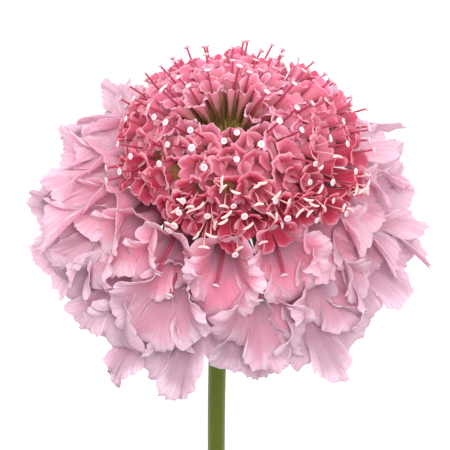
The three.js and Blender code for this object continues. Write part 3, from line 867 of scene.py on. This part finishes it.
def make_dome():
    """The corollas, in two pieces. What stands out of them is started here and built later."""
    florets = disc_florets()
    random = np.random.default_rng(17)
    young, old = Patchwork("crown_floret_corollas"), Patchwork("rim_floret_corollas")
    styles, stigmas = Patchwork("styles"), Patchwork("stigmas")
    filaments, anthers = Patchwork("filaments"), Patchwork("anthers")
    for floret in florets:
        disc_corolla(young if floret["polar"] < math.radians(DISC["old_from"]) else old, floret, random)
        if random.random() < DISC["pins"]:
            pin(styles, stigmas, floret, random)
        low_down = math.degrees(floret["polar"]) > STAMENS["from"] and -floret["axis"][1] > STAMENS["front"]
        if low_down and floret["axis"][0] > STAMENS["left"]:
            for _ in range(random.integers(0, STAMENS["most"] + 1)):
                stamen(filaments, anthers, floret, random)
    paint = floret_paint()
    young.build(paint, "coral_floret", "disc_florets")
    old.build(paint, "coral_floret", "disc_florets")
    return florets, styles, stigmas, filaments, anthers


def make_bed():
    """The dark bed of packed calyces between the florets."""
    bed = Patchwork("calyx_bed")
    profile = [
        (5.4, -1.6), (14, -1.6), (15.6, -0.4), (15.4, 2.5), (13, 6.2), (9, 6.8), (5.4, 5.6), (5.4, -1.6),
    ]
    bed.tube(turned(profile, 72, 0.02), along=0.3)
    bed.build(plain_paint("calyx_bed", (124, 104, 50), (150, 84, 66), 0.8), "coral_floret", "disc_florets")


def make_calyx_bristles(florets):
    """Five bristles round the foot of every small floret."""
    bristles = Patchwork("calyx_bristles")
    random = np.random.default_rng(3)
    for floret in florets:
        axis = floret["axis"]
        for k in range(5):
            first, _ = across_axis(axis, 2 * math.pi * k / 5 + random.uniform(-0.3, 0.3))
            start = floret["root"] + axis * 0.35 * floret["length"] + first * 0.75
            tip = start + axis * random.uniform(3.5, 6) + first * random.uniform(0.2, 1.0)
            middle = (start + tip) / 2 - first * 0.1
            bristles.thread([start, middle, tip], [0.17, 0.14, 0.09, 0.02], 4, 4)
    paint = plain_paint("calyx_bristle", (84, 84, 30), (110, 40, 36), 0.6)
    bristles.build(paint, "bristle_brown", "disc_florets")


# ---- the crown ----

def make_crown():
    """The funnel of bristles among the innermost florets. Every fifth one is long."""
    random = np.random.default_rng(23)
    crown = Patchwork("crown_bristle_tuft")
    cap = [(0.02, 5.4), (2.6, 5.0), (4.2, 4.0), (4.7, 4.6), (4.3, 5.8), (2.6, 7.0), (0.02, 7.6)]
    crown.tube(turned(cap, 32, 0.03), along=0.1)
    for k in range(CROWN["count"]):
        radius = CROWN["radius"] * math.sqrt((k + 0.5) / CROWN["count"])
        azimuth = k * GOLDEN
        start = on_head(azimuth, radius, CROWN["foot"])
        lean = 0.04 + 0.11 * radius * random.uniform(0.5, 1)
        axis = on_head(azimuth + random.uniform(-0.4, 0.4), math.sin(lean), math.cos(lean))
        length = random.uniform(6.5, 9) if k % 5 == 0 else random.uniform(3, 5.5)
        points = [start, start + UP * length * 0.5, start + axis * length]
        crown.thread(points, [0.2, 0.2, 0.17, 0.11, 0.03], 5, 5)
    paint = plain_paint("crown_bristle", (110, 104, 40), (112, 56, 44), 0.6)
    crown.build(paint, "bristle_brown", "crown_bristles")


# ---- stem, receptacle and bracts ----

def stem_path(t):
    """The stem's middle line, which bends down until its cut end rests on the floor."""
    end_z = RECEPTACLE[0][1] - STEM["length"]
    end_y = (HEART[2] - STEM["radius"] + STEM["sink"] + end_z * FLOOR_UP[2]) / -FLOOR_UP[1]
    return bezier([(0, 0, STEM["top"]), (-3.4, 0, -50), (-2.2, end_y * 0.4, -105), (-1.5, end_y, end_z)], t)


def make_stem():
    """The stem, slightly ribbed, with a shallow hollow in its cut end."""
    stem = Patchwork("green_stem")
    rows, sides = 90, 48
    t = np.linspace(0, 1, rows)
    path = stem_path(t)
    angles = np.linspace(0, 2 * math.pi, sides, endpoint=False)
    ribs = 1 + 0.02 * np.cos(8 * angles) + 0.006 * np.sin(23 * angles)
    rings = path[:, None] + (rings_along(path, STEM["radius"], sides) - path[:, None]) * ribs[:, None]
    hollow = path[-1] + (rings[-1] - path[-1]) * STEM["hollow"] - (path[-1] - path[-2]) * 0.1
    across = np.tile(3 * np.cos(angles), (rows + 1, 1))
    stem.tube(pressed(np.concatenate([rings, hollow[None]])), along=20 * np.append(t, 1), across=across)
    stem.build(stem_paint(), "stem_green", "stem")


def make_receptacle():
    """The core of the head."""
    core = Patchwork("receptacle_core")
    core.tube(turned(RECEPTACLE, 64, 0.015), along=0.5)
    paint = plain_paint("receptacle_skin", (96, 104, 44), (140, 146, 78), 0.6)
    core.build(paint, "receptacle_green", "receptacle")


def make_skirt_ring():
    """The ring that carries the skirt."""
    ring = Patchwork("skirt_ring")
    profile = [
        (5.3, -8.2), (7.4, -8.2), (9.8, -7), (10.8, -5), (10.2, -3), (8, -2.3), (5.3, -2.3), (5.3, -8.2),
    ]
    ring.tube(turned(profile, 96, 0.03), along=0.5)
    paint = plain_paint("skirt_ring", (150, 130, 90), (196, 150, 150), 0.6)
    ring.build(paint, "pale_pink_petal", "ray_florets")


def make_bracts():
    """A collar with narrow bracts that stand out and bend down."""
    bracts = Patchwork("green_bracts")
    collar = [(3.4, -10.4), (5.3, -8.6), (6.4, -8.6), (6.6, -9.3), (4.4, -11), (3.4, -10.9), (3.4, -10.4)]
    bracts.tube(turned(collar, 48, 0.02, rounds=1), along=0.2)
    draw = stream(6)
    u = np.linspace(0, 1, 18)[:, None]
    v = np.linspace(-1, 1, 9)[None, :]
    for k in range(BRACTS["count"]):
        azimuth = 2 * math.pi * (k + BRACTS["stray"] * (draw() - 0.5)) / BRACTS["count"]
        length = mix(BRACTS["shortest"], 1, draw())
        sideways = mix(-BRACTS["sideways"], BRACTS["sideways"], draw())
        line = bezier([(5.4, 0, -9.5), (11.5, 0, -10), (12.5, 0, mix(-9.5, -25, length))], u[:, 0])
        width = BRACTS["width"] * np.sin(math.pi * (0.18 + 0.79 * u))
        height = line[:, 2:] + BRACTS["dish"] * np.abs(v)
        points = on_head(azimuth + sideways * u * u, line[:, :1], height)
        points = points + outward(azimuth + math.pi / 2) * (width * v)[..., None]
        bracts.sheet(pressed(points), BRACTS["thick"], along=u, across=v)
    bracts.build(plain_paint("bract_skin", (70, 88, 26), (96, 66, 36), 0.6), "bract_green", "involucre")


# ---- crimson styles of the large florets ----

def ray_styles(styles, stigmas, florets):
    """Long crimson styles out of the throats of the upper florets of the two inner whorls."""
    random = np.random.default_rng(8)
    for floret in florets:
        if floret["whorl"] == 2 or floret["away"] > 0.25:
            continue
        ahead = unit(floret["lobes"][1]["tip"] - floret["throat"])
        lift = unit(UP - ahead * ahead[2])
        start = floret["throat"] - ahead * 2 + lift * 0.8
        reach = random.uniform(8.5, 10.5)
        sideways = np.cross(ahead, lift) * random.uniform(-1.2, 1.2)
        middle = start + ahead * reach * 0.6 + lift * 2.2
        tip = start + ahead * reach + lift * 2.4 + sideways
        path = styles.thread([start, middle, tip], np.linspace(0.36, 0.28, 8), 8, 8)
        stigma(stigmas, path[-1], unit(path[-1] - path[-2]), 0.72)


# ---- floor, light and camera ----

# The picture is "frame" pixels wide. At the head, "distance" millimetres off, a pixel is "scale"
# millimetres wide. The head is "right" and "up" pixels from the middle of the picture.
SIGHT = {"elevation": 45, "scale": 0.179, "distance": 450, "right": 3, "up": 69, "frame": 450}

# Places are millimetres from the head: right, up and towards the camera. Sizes are in metres.
LAMPS = {
    "key": {"place": (-300, 500, 450), "size": 0.6, "power": 3},
    "fill": {"place": (125, 40, 615), "size": 0.35, "power": 3.25},
}
FLOOR = {"reach": 1.5, "colour": (0.92, 0.92, 0.92, 1), "glow": 0.4}
SKY_GLOW = 0.64


def sight_axes():
    """Right, up and back for the camera, which looks from 45 degrees over the dome's rim."""
    elevation = math.radians(SIGHT["elevation"])
    back = np.array([0, -math.cos(elevation), math.sin(elevation)]) @ HEAD_AXES
    up = np.array([0, math.sin(elevation), math.cos(elevation)]) @ HEAD_AXES
    return np.cross(up, back), up, back


def make_camera():
    right, up, back = sight_axes()
    target = HEART - SIGHT["scale"] * (SIGHT["right"] * right + SIGHT["up"] * up)
    camera = bpy.data.objects.new("camera", bpy.data.cameras.new("camera"))
    bpy.context.scene.collection.objects.link(camera)
    camera.data.lens = camera.data.sensor_width * SIGHT["distance"] / (SIGHT["frame"] * SIGHT["scale"])
    pose = np.eye(4)
    pose[:3] = np.stack([right, up, back, (target + back * SIGHT["distance"]) * MM], -1)
    camera.matrix_world = Matrix(pose.tolist())
    bpy.context.scene.camera = camera


def make_lights():
    right, up, back = sight_axes()
    for name, lamp in LAMPS.items():
        x, y, z = lamp["place"]
        place = Vector((HEART + x * right + y * up + z * back) * MM)
        data = bpy.data.lights.new(name, "AREA")
        data.size, data.energy = lamp["size"], lamp["power"]
        light = bpy.data.objects.new(name, data)
        light.location = place
        light.rotation_euler = (place - Vector(HEART * MM)).to_track_quat("Z", "Y").to_euler()
        bpy.context.scene.collection.objects.link(light)


def make_stage():
    """A pale floor and a white sky, which both glow."""
    data = bpy.data.meshes.new("pale_floor")
    reach = FLOOR["reach"]
    corners = [(-reach, -reach, 0), (reach, -reach, 0), (reach, reach, 0), (-reach, reach, 0)]
    data.from_pydata(corners, [], [(0, 1, 2, 3)])
    floor = bpy.data.objects.new("pale_floor", data)
    bpy.context.scene.collection.objects.link(floor)
    paint = Paint("pale_floor")
    paint.shader.inputs["Emission Color"].default_value = WHITE
    paint.shader.inputs["Emission Strength"].default_value = FLOOR["glow"]
    data.materials.append(paint.finish(FLOOR["colour"], roughness=0.9, specular=0.1))
    world = bpy.data.worlds.new("studio")
    world.use_nodes = True
    world.node_tree.nodes["Background"].inputs["Color"].default_value = WHITE
    world.node_tree.nodes["Background"].inputs["Strength"].default_value = SKY_GLOW
    bpy.context.scene.world = world
    bpy.context.scene.view_settings.view_transform = "Standard"


make_camera()
make_lights()
make_stage()
skirt = make_skirt()
dome, styles, stigmas, filaments, anthers = make_dome()
ray_styles(styles, stigmas, skirt)
styles.build(plain_paint("style", (122, 26, 48), (172, 60, 86), 0.45), "coral_floret", "disc_florets")
stigma_paint = plain_paint("stigma", (220, 150, 170), (250, 236, 238), 0.5, through=0.2)
stigmas.build(stigma_paint, "coral_floret", "disc_florets")
filament_paint = plain_paint("filament", (226, 140, 150), (244, 200, 190), 0.5)
filaments.build(filament_paint, "coral_floret", "disc_florets")
anthers.build(plain_paint("anther", (240, 186, 184), (252, 214, 208), 0.6), "coral_floret", "disc_florets")
make_bed()
make_calyx_bristles(dome)
make_crown()
make_receptacle()
make_skirt_ring()
make_bracts()
make_stem()
